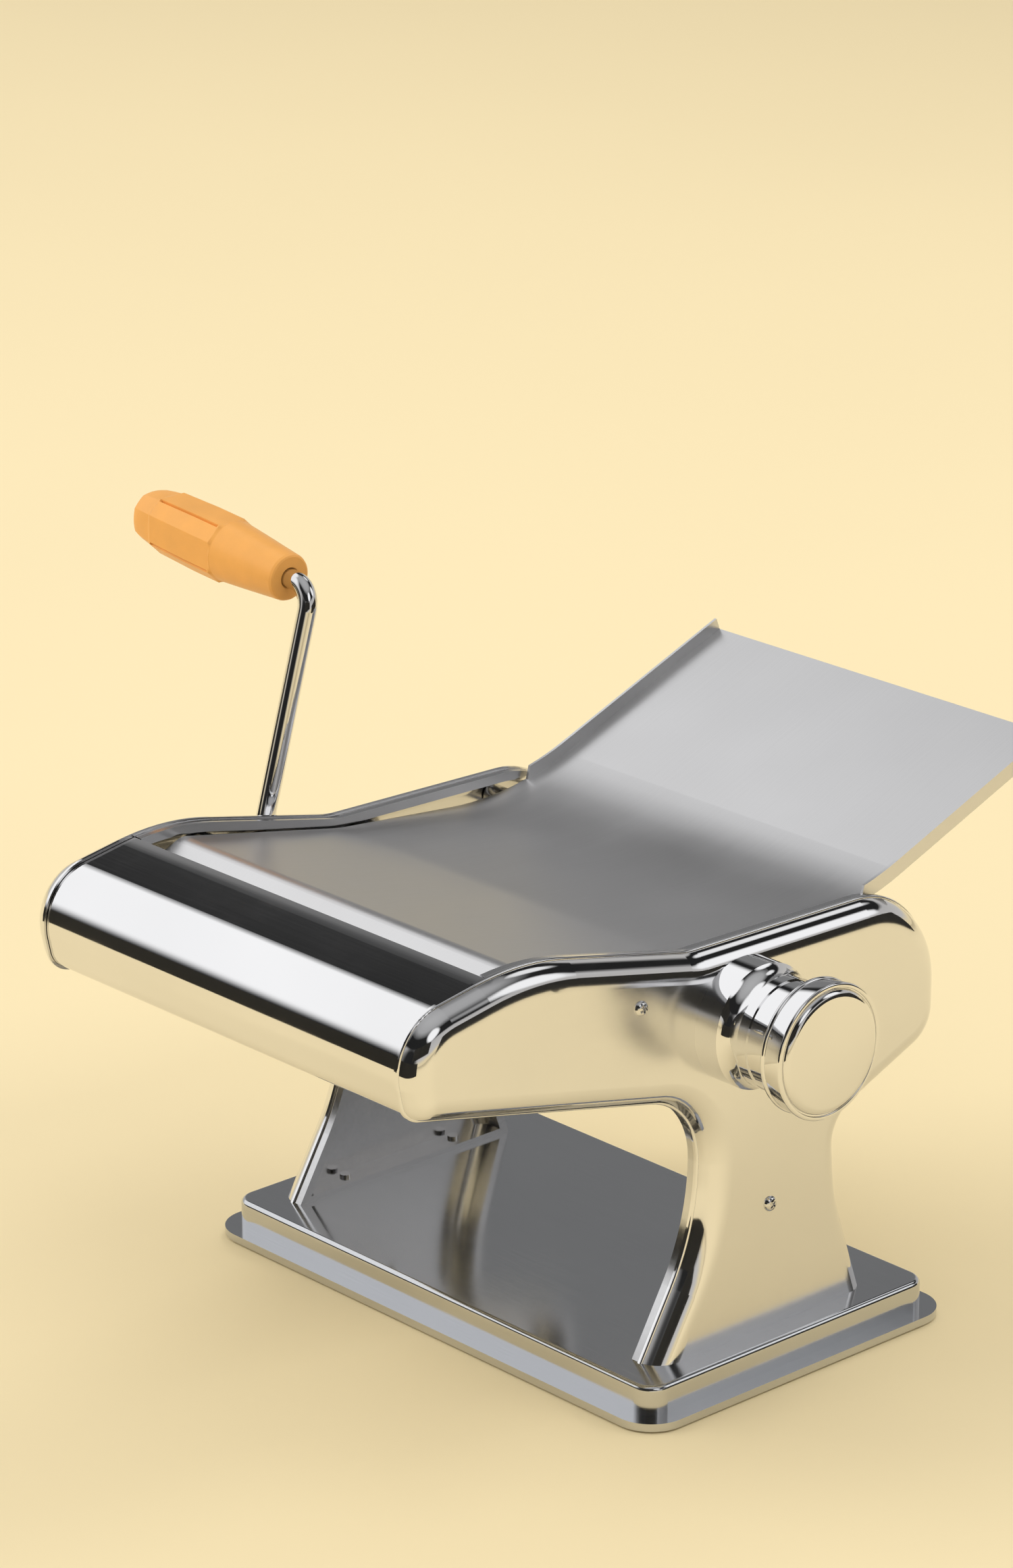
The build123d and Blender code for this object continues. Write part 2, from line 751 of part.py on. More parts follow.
# Knob boss on the right casing, coved down to a neck
knob_plane = Plane(origin=(0, knob_y, roller_z), x_dir=(1, 0, 0), z_dir=(0, -1, 0))
knob_line = Axis((0, knob_y, roller_z), (1, 0, 0))
with BuildPart() as knob_boss:
    with BuildSketch(knob_plane):
        with BuildLine():
            Polyline(
                (neck_x, neck_radius),
                (neck_x + neck_collar, neck_radius),
                (neck_x + neck_collar, neck_radius - neck_step),
                (neck_end_x, neck_radius - neck_step),
                (neck_end_x, 0),
                (face_x, 0),
                (face_x, boss_radius),
                (boss_end_x, boss_radius),
            )
            RadiusArc((boss_end_x, boss_radius), (neck_x, neck_radius), -boss_cove)
        make_face()
    revolve(axis=knob_line)
    turned(face_x, neck_end_x, shaft_radius + clear, knob_axis, mode=Mode.SUBTRACT)
    turned(hub_x - clear, neck_end_x, knob_hub_radius + clear, knob_axis, mode=Mode.SUBTRACT)
    with BuildSketch(Plane.YZ.offset(neck_end_x)):
        with BuildLine(mode=Mode.PRIVATE) as pin_travel:
            CenterArc(knob_axis, pin_circle, 0, 180)
        SlotArc(pin_travel.wire(), 2 * (pin_radius + pin_side_gap))
    extrude(amount=-pin_groove_depth, mode=Mode.SUBTRACT)
pieces["knob_boss"] = knob_boss.part

# Knob: a plain disc, a little smaller at its back, with a raised rim and a shallow dome
knob_back_radius = knob_radius - knob_taper
rim_radius = knob_radius - knob_ring
dome_radius = rim_radius - knob_groove
with BuildPart() as knob:
    with BuildSketch(knob_plane):
        with BuildLine():
            Polyline(
                (knob_face_x, dome_radius),
                (knob_face_x - knob_groove_depth, dome_radius),
                (knob_face_x - knob_groove_depth, rim_radius),
                (knob_face_x, rim_radius),
                (knob_face_x, knob_radius - knob_edge),
            )
            RadiusArc(
                (knob_face_x, knob_radius - knob_edge),
                (knob_face_x - knob_edge, knob_radius),
                -knob_edge,
            )
            Polyline(
                (knob_face_x - knob_edge, knob_radius),
                (knob_x + knob_bead_width, knob_back_radius),
                (knob_x + knob_bead_width, knob_back_radius + knob_bead),
                (knob_x, knob_back_radius + knob_bead),
                (knob_x, 0),
                (knob_face_x + knob_dome, 0),
            )
            ThreePointArc(
                (knob_face_x + knob_dome, 0),
                (knob_face_x + knob_dome * 3 / 4, dome_radius / 2),
                (knob_face_x, dome_radius),
            )
        make_face()
    revolve(axis=knob_line)
    turned(knob_x, hub_x, knob_hub_radius, knob_axis)
    turned(hub_x, knob_x + knob_thick / 2 + clear, shaft_radius + running_fit, knob_axis, mode=Mode.SUBTRACT)
pieces["knob"] = knob.part

with BuildPart() as index_pin:
    turned(knob_x, knob_x - pin_length, pin_radius, (knob_y + pin_circle, roller_z))
pieces["index_pin"] = index_pin.part

# Crank: one bent rod with a flattened tip in the front roller's socket
lean = radians(crank_lean)
splay = radians(crank_splay)
arm_way = Vector(0, sin(lean), cos(lean))
grip_way = Vector(-cos(splay), 0, 0) + arm_way * sin(splay)
socket_bottom_x = journal_end_x + socket_depth
crank_tip = Vector(socket_bottom_x - clear, front_y, roller_z)
crank_elbow = Vector(-(face_x + crank_offset), front_y, roller_z)
crank_top = crank_elbow + arm_way * crank_arm
rod_end = crank_top + grip_way * (grip_start + grip_length - cap_depth)
with BuildPart() as crank_rod:
    with BuildLine():
        FilletPolyline(crank_tip, crank_elbow, crank_top, rod_end, radius=crank_bend)
    with BuildSketch(Plane(origin=crank_tip, x_dir=(0, 1, 0), z_dir=(-1, 0, 0))):
        Circle(rod_wire)
    sweep()
    with BuildSketch(Plane.YZ.offset(crank_tip.X)):
        with Locations(front_axis):
            Rectangle(blade_thick, blade_width)
    extrude(amount=blade_length)
pieces["crank_rod"] = crank_rod.part

# Grip: eight flat sides, a cone towards the rod and a smaller tail
grip_plane = Plane(origin=crank_top + grip_way * grip_start, x_dir=arm_way, z_dir=grip_way)
grip_stations = (
    (0, grip_end_radius - grip_edge),
    (grip_edge, grip_end_radius),
    (grip_cone, grip_radius),
    (grip_length - grip_tail, grip_radius - grip_edge / 2),
    (grip_length - grip_tail + grip_edge, grip_tail_radius),
    (grip_length - grip_edge, grip_end_radius),
    (grip_length, grip_end_radius - grip_edge),
)
with BuildPart() as crank_grip:
    for station, radius in grip_stations:
        with BuildSketch(grip_plane.offset(station)):
            RegularPolygon(radius, grip_sides)
    loft(ruled=True)
    with BuildSketch(grip_plane):
        Circle(rod_wire + socket_gap)
    extrude(amount=grip_length, mode=Mode.SUBTRACT)
    with BuildSketch(grip_plane.offset(grip_length - cap_depth)):
        Circle(cap_radius + cap_gap)
    extrude(amount=cap_depth, mode=Mode.SUBTRACT)
pieces["crank_grip"] = crank_grip.part

with BuildPart() as grip_retainer:
    with BuildSketch(grip_plane.offset(grip_length - cap_depth + clear)):
        Circle(cap_radius)
    extrude(amount=cap_depth - clear)
pieces["grip_retainer"] = grip_retainer.part

for name, piece in pieces.items():
    piece.label = name
    export_step(piece, f"parts/{name}.step")
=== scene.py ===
"""Looks of a hand-cranked pasta machine: finishes, finer pieces and the stage, laid out as an add-on."""

import json
import math

import bmesh
import bpy
from bpy.props import FloatProperty, FloatVectorProperty, PointerProperty
from mathutils import Euler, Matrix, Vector


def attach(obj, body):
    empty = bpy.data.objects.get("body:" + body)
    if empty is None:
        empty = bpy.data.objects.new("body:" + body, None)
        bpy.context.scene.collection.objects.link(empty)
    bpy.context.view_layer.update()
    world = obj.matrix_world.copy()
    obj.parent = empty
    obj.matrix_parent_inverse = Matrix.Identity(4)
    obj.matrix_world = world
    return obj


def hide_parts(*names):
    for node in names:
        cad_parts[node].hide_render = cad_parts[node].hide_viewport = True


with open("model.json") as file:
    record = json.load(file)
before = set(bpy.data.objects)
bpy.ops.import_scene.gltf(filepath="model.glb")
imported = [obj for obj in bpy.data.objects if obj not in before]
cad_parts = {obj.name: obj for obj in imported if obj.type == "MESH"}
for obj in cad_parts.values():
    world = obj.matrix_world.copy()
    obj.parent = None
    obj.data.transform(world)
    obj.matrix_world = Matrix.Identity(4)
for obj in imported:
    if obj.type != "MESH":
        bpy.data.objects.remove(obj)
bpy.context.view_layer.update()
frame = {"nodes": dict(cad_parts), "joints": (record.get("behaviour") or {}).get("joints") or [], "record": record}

bl_info = {
    "name": "Pasta Machine Looks",
    "version": (1, 0, 0),
    "blender": (4, 5, 0),
    "location": "3D View > Sidebar > Pasta Machine",
    "description": "Finishes, finer pieces and stage of a hand-cranked pasta machine",
    "category": "Object",
}

slot_colours = {entry["slot"]: tuple(entry["base_color"][:3]) for entry in frame["record"]["materials"]}
joints = {joint["name"]: joint for joint in frame["joints"]}


def colour_property(label, colour):
    """A colour that a user may change."""
    return FloatVectorProperty(
        name=label,
        description=f"Base colour of the {label.lower()}",
        subtype="COLOR",
        size=3,
        min=0.0,
        max=1.0,
        default=colour,
    )


def slot_property(label, slot):
    """A colour that a user may change, starting from the record's own."""
    return colour_property(label, slot_colours[slot])


def length_property(label, words, metres):
    """A length that a user may change."""
    return FloatProperty(
        name=label,
        description=words,
        unit="LENGTH",
        min=0.0,
        precision=4,
        default=metres,
    )


class PastaMachineColours(bpy.types.PropertyGroup):
    """Base colours of the finishes."""

    casing: slot_property("Casing chrome", "casing_chrome")
    tray: slot_property("Tray steel", "tray_steel")
    base: slot_property("Base chrome", "base_chrome")
    plating: slot_property("Frame plating", "frame_steel")
    screw: slot_property("Screw nickel", "screw_steel")
    roller: slot_property("Roller metal", "roller_metal")
    shaft: slot_property("Shaft steel", "shaft_steel")
    gear: slot_property("Gear steel", "gear_steel")
    bronze: slot_property("Bush bronze", "bush_bronze")
    bush: slot_property("Bush nylon", "bush_nylon")
    comb: slot_property("Comb plastic", "comb_plastic")
    knob: slot_property("Knob chrome", "knob_chrome")
    crank: slot_property("Crank chrome", "crank_chrome")
    grip: slot_property("Grip plastic", "grip_plastic")
    foot: slot_property("Foot rubber", "foot_rubber")


class PastaMachineGrip(bpy.types.PropertyGroup):
    """Sizes of the crank's grip."""

    start: length_property("Start", "Distance from the rod's bend to the grip", 0.012)
    length: length_property("Length", "Length along the rod", 0.080)
    bore: length_property("Bore", "Radius of the hole for the rod", 0.0036)
    mouth: length_property("Mouth", "Radius of the flared mouth of that hole", 0.0040)
    pocket: length_property("Pocket", "Radius of the pocket for the retainer", 0.0064)
    pocket_depth: length_property("Pocket depth", "Depth of the pocket for the retainer", 0.003)
    groove: length_property("Groove", "Depth of the grooves beside the wide flats", 0.0016)


class PastaMachineScrew(bpy.types.PropertyGroup):
    """Sizes of the casing screws."""

    head: length_property("Head radius", "Radius of the domed head", 0.0027)
    height: length_property("Head height", "Height of the domed head", 0.0017)
    shank: length_property("Shank radius", "Radius of the shank", 0.0015)
    reach: length_property("Reach", "Length of the shank below the head", 0.0047)
    recess_width: length_property("Recess width", "Width of each arm of the cross recess", 0.0008)
    recess_reach: length_property("Recess reach", "Reach of the cross recess from the middle", 0.0015)
    recess_depth: length_property("Recess depth", "Depth of the cross recess", 0.0008)


class PastaMachineKnob(bpy.types.PropertyGroup):
    """Sizes of the thickness knob."""

    back: length_property("Back", "Distance of the knob's back from the middle", 0.1293)
    thickness: length_property("Thickness", "Distance from the knob's back to the edge of its face", 0.0107)
    radius: length_property("Radius", "Radius at the front rim", 0.0235)
    taper: length_property("Taper", "How much smaller the radius is at the back", 0.0008)
    rim_drop: length_property("Rim drop", "How far the front rim lies behind the face", 0.0014)
    disc: length_property("Disc", "Radius of the raised middle disc", 0.0216)
    shoulder: length_property("Shoulder", "Radius of the disc's rounded edge", 0.0030)
    dome: length_property("Dome", "Rise of the face towards its middle", 0.0007)
    hub: length_property("Hub", "Radius of the hub at the back", 0.010)
    hub_length: length_property("Hub length", "Length of the hub", 0.012)
    bore: length_property("Bore", "Radius of the bore for the shaft", 0.00604)


class PastaMachineStage(bpy.types.PropertyGroup):
    """Floor, light and camera."""

    floor: colour_property("Floor", (0.87, 0.73, 0.45))
    fill: FloatProperty(name="Fill", description="Strength of the even light", default=0.66, min=0.0)
    lens: FloatProperty(
        name="Lens",
        description="Focal length of the camera",
        subtype="DISTANCE_CAMERA",
        default=121.75,
        min=1.0,
    )


class PastaMachineSettings(bpy.types.PropertyGroup):
    """Everything that a user may change."""

    colours: PointerProperty(type=PastaMachineColours)
    grip: PointerProperty(type=PastaMachineGrip)
    screw: PointerProperty(type=PastaMachineScrew)
    knob: PointerProperty(type=PastaMachineKnob)
    stage: PointerProperty(type=PastaMachineStage)


def settings(context):
    """The add-on's settings in the scene."""
    return context.scene.pasta_machine


class NodeTree:
    """A node tree in the making."""

    def __init__(self, tree):
        self.tree = tree

    def node(self, kind, **values):
        """A new node with its settings."""
        made = self.tree.nodes.new(kind)
        for setting, value in values.items():
            setattr(made, setting, value)
        return made

    def link(self, source, target):
        """A link from an output to an input."""
        self.tree.links.new(source, target)

    def together(self, first, second, operation="ADD"):
        """Two values joined by arithmetic."""
        made = self.node("ShaderNodeMath", operation=operation)
        self.link(first, made.inputs[0])
        self.link(second, made.inputs[1])
        return made.outputs["Value"]

    def shades(self, source, stops):
        """A value turned into colours."""
        made = self.node("ShaderNodeValToRGB")
        ramp = made.color_ramp
        while len(ramp.elements) < len(stops):
            ramp.elements.new(0.5)
        for element, (position, colour) in zip(ramp.elements, stops):
            element.position = position
            element.color = (*colour, 1.0)
        self.link(source, made.inputs["Fac"])
        return made.outputs["Color"]


def tinted(colour, share):
    """A colour made lighter or darker, kept below white."""
    return tuple(min(1.0, channel * share) for channel in colour)


# How far the bumps of every finish stand out, in metres
relief_distance = 0.0002


class Finish(NodeTree):
    """A material in the making, with its shader and the place and facing on the object."""

    def __init__(self, name, **sockets):
        self.material = bpy.data.materials.new(name)
        self.material.use_nodes = True
        super().__init__(self.material.node_tree)
        self.shader = self.tree.nodes["Principled BSDF"]
        coordinates = self.node("ShaderNodeTexCoord")
        self.place = coordinates.outputs["Object"]
        self.facing = coordinates.outputs["Normal"]
        for socket, value in sockets.items():
            self.shader.inputs[socket.replace("_", " ")].default_value = value

    def stretched(self, scale):
        """The place on the object, stretched."""
        mapping = self.node("ShaderNodeMapping", vector_type="POINT")
        mapping.inputs["Scale"].default_value = scale
        self.link(self.place, mapping.inputs["Vector"])
        return mapping.outputs["Vector"]

    def noise(self, scale, detail, place=None, roughness=0.5):
        """Soft noise from 0 to 1."""
        made = self.node("ShaderNodeTexNoise")
        made.inputs["Scale"].default_value = scale
        made.inputs["Detail"].default_value = detail
        made.inputs["Roughness"].default_value = roughness
        self.link(place or self.place, made.inputs["Vector"])
        return made.outputs["Fac"]

    def squareness(self):
        """How squarely the surface faces along X, from 0 to 1."""
        split = self.node("ShaderNodeSeparateXYZ")
        self.link(self.facing, split.inputs["Vector"])
        made = self.node("ShaderNodeMath", operation="ABSOLUTE")
        self.link(split.outputs["X"], made.inputs[0])
        return made.outputs["Value"]

    def spread(self, source, low, high, start=0.3, end=0.7):
        """A value moved from its own range to another one."""
        made = self.node("ShaderNodeMapRange")
        made.inputs["From Min"].default_value = start
        made.inputs["From Max"].default_value = end
        made.inputs["To Min"].default_value = low
        made.inputs["To Max"].default_value = high
        self.link(source, made.inputs["Value"])
        return made.outputs["Result"]

    def tones(self, source, colour, dark, light, start=0.25, end=0.75):
        """A value turned into darker and lighter tones of one colour."""
        return self.shades(source, ((start, tinted(colour, dark)), (end, tinted(colour, light))))

    def relief(self, height, strength):
        """Bump from a height."""
        made = self.node("ShaderNodeBump")
        made.inputs["Strength"].default_value = strength
        made.inputs["Distance"].default_value = relief_distance
        self.link(height, made.inputs["Height"])
        self.link(made.outputs["Normal"], self.shader.inputs["Normal"])

    def wear(self, **sources):
        """Links into the shader's sockets."""
        for socket, source in sources.items():
            self.link(source, self.shader.inputs[socket.replace("_", " ")])
        return self.material


def polished(name, colour, low=0.03, high=0.09, lines=(1.0, 0.03, 1.0), satin=0.0):
    """Mirror plating with faint polishing lines and handling marks, duller on faces square to X."""
    finish = Finish(name, Metallic=1.0, Specular_IOR_Level=0.5)
    marks = finish.noise(scale=22.0, detail=7.0, roughness=0.6)
    hairlines = finish.noise(scale=900.0, detail=2.0, place=finish.stretched(lines))
    roughness = finish.together(
        finish.spread(marks, low, high, start=0.42, end=0.78),
        finish.spread(hairlines, 0.0, 0.025),
    )
    if satin:
        dullness = finish.spread(finish.squareness(), 0.0, satin, start=0.93, end=0.995)
        roughness = finish.together(roughness, dullness)
    tone = finish.tones(finish.noise(scale=9.0, detail=4.0), colour, dark=0.95, light=1.04)
    finish.relief(hairlines, strength=0.002 if satin else 0.012)
    return finish.wear(Base_Color=tone, Roughness=roughness)


def rolled(name, colour, lines, low, high):
    """Sheet steel with the fine lines of the rolling mill along one way."""
    finish = Finish(name, Metallic=1.0)
    grain = finish.noise(scale=2600.0, detail=3.0, place=finish.stretched(lines), roughness=0.6)
    clouds = finish.noise(scale=14.0, detail=5.0)
    roughness = finish.together(finish.spread(clouds, low, high), finish.spread(grain, 0.0, 0.05))
    streaks = finish.together(finish.spread(grain, 0.35, 0.65), finish.spread(clouds, -0.15, 0.15))
    tone = finish.tones(streaks, colour, dark=0.95, light=1.04, start=0.2, end=0.8)
    finish.relief(grain, strength=0.004)
    return finish.wear(Base_Color=tone, Roughness=roughness)


def plated(name, colour):
    """Bright plating with a faint cloudiness and a fine grain."""
    finish = Finish(name, Metallic=1.0)
    clouds = finish.noise(scale=26.0, detail=5.0)
    grain = finish.noise(scale=700.0, detail=3.0)
    tone = finish.tones(clouds, colour, dark=0.95, light=1.04)
    roughness = finish.together(finish.spread(clouds, 0.10, 0.2), finish.spread(grain, 0.0, 0.04))
    finish.relief(grain, strength=0.02)
    return finish.wear(Base_Color=tone, Roughness=roughness)


def turned_metal(name, colour, low, high):
    """Metal turned on a lathe about X, with fine rings along its length."""
    finish = Finish(name, Metallic=1.0)
    rings = finish.noise(scale=1400.0, detail=2.0, place=finish.stretched((1.0, 0.01, 0.01)))
    film = finish.noise(scale=40.0, detail=6.0, roughness=0.6)
    streaks = finish.together(finish.spread(rings, 0.2, 0.6), finish.spread(film, 0.0, 0.4))
    tone = finish.tones(streaks, colour, dark=0.86, light=1.05, start=0.2, end=0.9)
    roughness = finish.together(finish.spread(film, low, high), finish.spread(rings, 0.0, 0.06))
    finish.relief(rings, strength=0.06)
    return finish.wear(Base_Color=tone, Roughness=roughness)


def moulded(name, colour, low, high, contrast=0.1, **sockets):
    """Moulded plastic or rubber with a fine skin and slight clouds in its colour."""
    finish = Finish(name, Metallic=0.0, **sockets)
    clouds = finish.noise(scale=55.0, detail=6.0, roughness=0.6)
    skin = finish.noise(scale=1800.0, detail=2.0)
    tone = finish.tones(clouds, colour, dark=1.0 - contrast, light=1.0 + contrast)
    roughness = finish.together(finish.spread(clouds, low, high), finish.spread(skin, 0.0, 0.08))
    finish.relief(skin, strength=0.05)
    return finish.wear(Base_Color=tone, Roughness=roughness)


def cover(material, *nodes):
    """Gives CAD nodes their finish."""
    for name in nodes:
        mesh = frame["nodes"][name].data
        mesh.materials.clear()
        mesh.materials.append(material)


def face_outwards(mesh):
    """Turns all faces of a closed mesh outwards."""
    shape = bmesh.new()
    shape.from_mesh(mesh)
    bmesh.ops.recalc_face_normals(shape, faces=shape.faces)
    shape.to_mesh(mesh)
    shape.free()


def new_piece(name, vertices, faces, material, smooth_angle=35.0):
    """A mesh piece in the machine's own frame, shaded smooth except across sharp edges."""
    mesh = bpy.data.meshes.new(name)
    mesh.from_pydata([tuple(point) for point in vertices], [], faces)
    face_outwards(mesh)
    mesh.materials.append(material)
    piece = bpy.data.objects.new(name, mesh)
    bpy.context.scene.collection.objects.link(piece)
    mesh.shade_smooth()
    mesh.set_sharp_from_angle(angle=math.radians(smooth_angle))
    return piece


def round_angles(count):
    """Evenly spaced angles round a circle."""
    return [2 * math.pi * step / count for step in range(count)]


def ring_faces(rings, count, closed=False):
    """Quads between rings of count points each, and from the last ring to the first one if closed."""
    faces = []
    for ring in range(rings if closed else rings - 1):
        near = ring * count
        far = (ring + 1) % rings * count
        for step in range(count):
            after = (step + 1) % count
            faces.append((near + step, near + after, far + after, far + step))
    return faces


def capped_faces(rings, count):
    """Faces of rings that end in two poles, the points after the last ring."""
    faces = ring_faces(rings, count)
    pole = rings * count
    last = pole - count
    for step in range(count):
        after = (step + 1) % count
        faces.append((pole, after, step))
        faces.append((pole + 1, last + step, last + after))
    return faces


def arc(middle, radius, start, end, steps):
    """Points of an arc in an outline, with angles in degrees from +X towards a larger radius."""
    points = []
    for step in range(steps + 1):
        angle = math.radians(start + (end - start) * step / steps)
        points.append((middle[0] + radius * math.cos(angle), middle[1] + radius * math.sin(angle)))
    return points


class PASTA_OT_casings(bpy.types.Operator):
    """Polish the two side casings and the front cover"""

    bl_idname = "pasta_machine.casings"
    bl_label = "Casings and Cover"

    def execute(self, context):
        colour = settings(context).colours.casing
        cover(polished("Casing chrome", colour, satin=0.14), "side_casing_left", "side_casing_right")
        cover(polished("Cover chrome", colour, lines=(0.03, 1.0, 1.0)), "front_cover")
        return {"FINISHED"}


class PASTA_OT_base(bpy.types.Operator):
    """Finish the base plate and its rubber feet"""

    bl_idname = "pasta_machine.base"
    bl_label = "Base and Feet"

    def execute(self, context):
        colours = settings(context).colours
        chrome = rolled("Base chrome", colours.base, lines=(0.02, 1.0, 1.0), low=0.06, high=0.13)
        cover(chrome, "base_plate")
        cover(moulded("Foot rubber", colours.foot, low=0.6, high=0.8, contrast=0.3), "rubber_feet")
        return {"FINISHED"}


class PASTA_OT_frames(bpy.types.Operator):
    """Plate the side frames and tie rods"""

    bl_idname = "pasta_machine.frames"
    bl_label = "Frames and Tie Rods"

    def execute(self, context):
        colour = settings(context).colours.plating
        cover(plated("Frame plating", colour), "side_frame_left", "side_frame_right")
        rods = turned_metal("Tie rod plating", colour, low=0.12, high=0.2)
        cover(rods, "tie_rod_front", "tie_rod_rear", "tie_rod_lower")
        return {"FINISHED"}


class PASTA_OT_tray(bpy.types.Operator):
    """Finish the feed tray"""

    bl_idname = "pasta_machine.tray"
    bl_label = "Feed Tray"

    def execute(self, context):
        colour = settings(context).colours.tray
        cover(rolled("Tray steel", colour, lines=(1.0, 0.008, 0.02), low=0.3, high=0.38), "feed_tray")
        return {"FINISHED"}


class PASTA_OT_rollers(bpy.types.Operator):
    """Finish the smooth rollers, the cutters and their gears"""

    bl_idname = "pasta_machine.rollers"
    bl_label = "Rollers and Cutters"

    def execute(self, context):
        colours = settings(context).colours
        smooth = turned_metal("Roller metal", colours.roller, low=0.12, high=0.22)
        cover(smooth, "roller_front", "roller_rear")
        ridged = turned_metal("Cutter metal", colours.roller, low=0.16, high=0.28)
        cover(ridged, "cutter_front", "cutter_rear")
        steel = turned_metal("Shaft steel", colours.shaft, low=0.2, high=0.35)
        cover(steel, "eccentric_shaft", "index_pin")
        gears = plated("Gear steel", colours.gear)
        cover(gears, "roller_gear_front", "roller_gear_rear", "cutter_gear_front", "cutter_gear_rear")
        return {"FINISHED"}


class PASTA_OT_bushes(bpy.types.Operator):
    """Finish the bearings, bushes, combs and scrapers"""

    bl_idname = "pasta_machine.bushes"
    bl_label = "Bearings, Combs and Scrapers"

    def execute(self, context):
        colours = settings(context).colours
        nylon = moulded("Bush nylon", colours.bush, low=0.4, high=0.55, Subsurface_Weight=0.1)
        cover(nylon, "roller_bearings", "shaft_bearings", "cutter_bearings")
        cover(turned_metal("Bush bronze", colours.bronze, low=0.22, high=0.36), "roller_bushes")
        plastic = moulded("Comb plastic", colours.comb, low=0.35, high=0.5)
        cover(plastic, "cutter_comb_front", "cutter_comb_rear", "scraper_front", "scraper_rear")
        return {"FINISHED"}


# Finer lengths of the knob's outline, in metres
knob_bore_room = 0.0003
knob_edge = 0.0009
knob_back_sink = 0.0003
knob_fine_edge = 0.0004
knob_groove_depth = 0.0006
knob_groove_gap = 0.0002
# Points round the knob, and rings over its face
knob_count = 160
knob_face_rings = 12


class PASTA_OT_knob(bpy.types.Operator):
    """Turn the thickness knob and polish it and its boss"""

    bl_idname = "pasta_machine.knob"
    bl_label = "Knob and Boss"

    def outline(self, sizes):
        """The knob's outline from the bottom of its bore round to the middle of its face."""
        back, front = sizes.back, sizes.back + sizes.thickness
        bore_end = back + sizes.thickness / 2 + knob_bore_room
        hub_end = back - sizes.hub_length
        behind = sizes.radius - sizes.taper
        rim = front - sizes.rim_drop
        inner_rim = sizes.radius - knob_edge
        flat = sizes.disc - sizes.shoulder
        edge, fine = knob_edge, knob_fine_edge
        points = [(bore_end, 0.0), (bore_end, sizes.bore), (hub_end, sizes.bore)]
        points += arc((hub_end + fine, sizes.hub - fine), fine, 180, 90, 6)
        points += [(back, sizes.hub)]
        points += arc((back + edge, behind - knob_back_sink), edge, 180, 20, 10)
        points += arc((rim - edge, inner_rim), edge, 90, 0, 8)
        points += arc((rim - fine, inner_rim - fine), fine, 0, -60, 4)
        points += [(rim - knob_groove_depth, sizes.disc + knob_groove_gap)]
        points += arc((front - sizes.shoulder, flat), sizes.shoulder, 72, 4, 12)
        for step in range(1, knob_face_rings):
            share = 1.0 - step / knob_face_rings
            points.append((front + sizes.dome * (1.0 - share * share), flat * share))
        points.append((front + sizes.dome, 0.0))
        return points

    def turned(self, outline, axis):
        """Points of the outline turned about a line along X, with its two ends on that line last."""
        points = []
        for along, radius in outline[1:-1]:
            for angle in round_angles(knob_count):
                points.append(axis + Vector((along, radius * math.cos(angle), radius * math.sin(angle))))
        return points + [axis + Vector((outline[end][0], 0.0, 0.0)) for end in (0, -1)]

    def execute(self, context):
        chrome = polished("Knob chrome", settings(context).colours.knob, low=0.025, high=0.07)
        cover(chrome, "knob_boss")
        outline = self.outline(settings(context).knob)
        points = self.turned(outline, Vector(joints["thickness_turn"]["pos_m"]))
        knob = new_piece("thickness_knob", points, capped_faces(len(outline) - 2, knob_count), chrome)
        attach(knob, "knob")
        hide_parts("knob")
        return {"FINISHED"}


# Where the heads of the casing screws sit on the right casing; the left ones mirror them
screw_spots = ((0.098, -0.0633, 0.1462), (0.098, -0.0022, 0.0593))
# How far the recess of each is turned, in radians
screw_turns = (0.35, 0.9)
# The head's dome falls off by these powers, and the recess's walls slope over these lengths
dome_fall = 2.4
dome_fullness = 0.55
recess_side_slope = 0.00012
recess_end_slope = 0.0005
# Rings over a screw's head, rings of its shank and points round it
head_rings = 22
shank_rings = 2
screw_count = 72


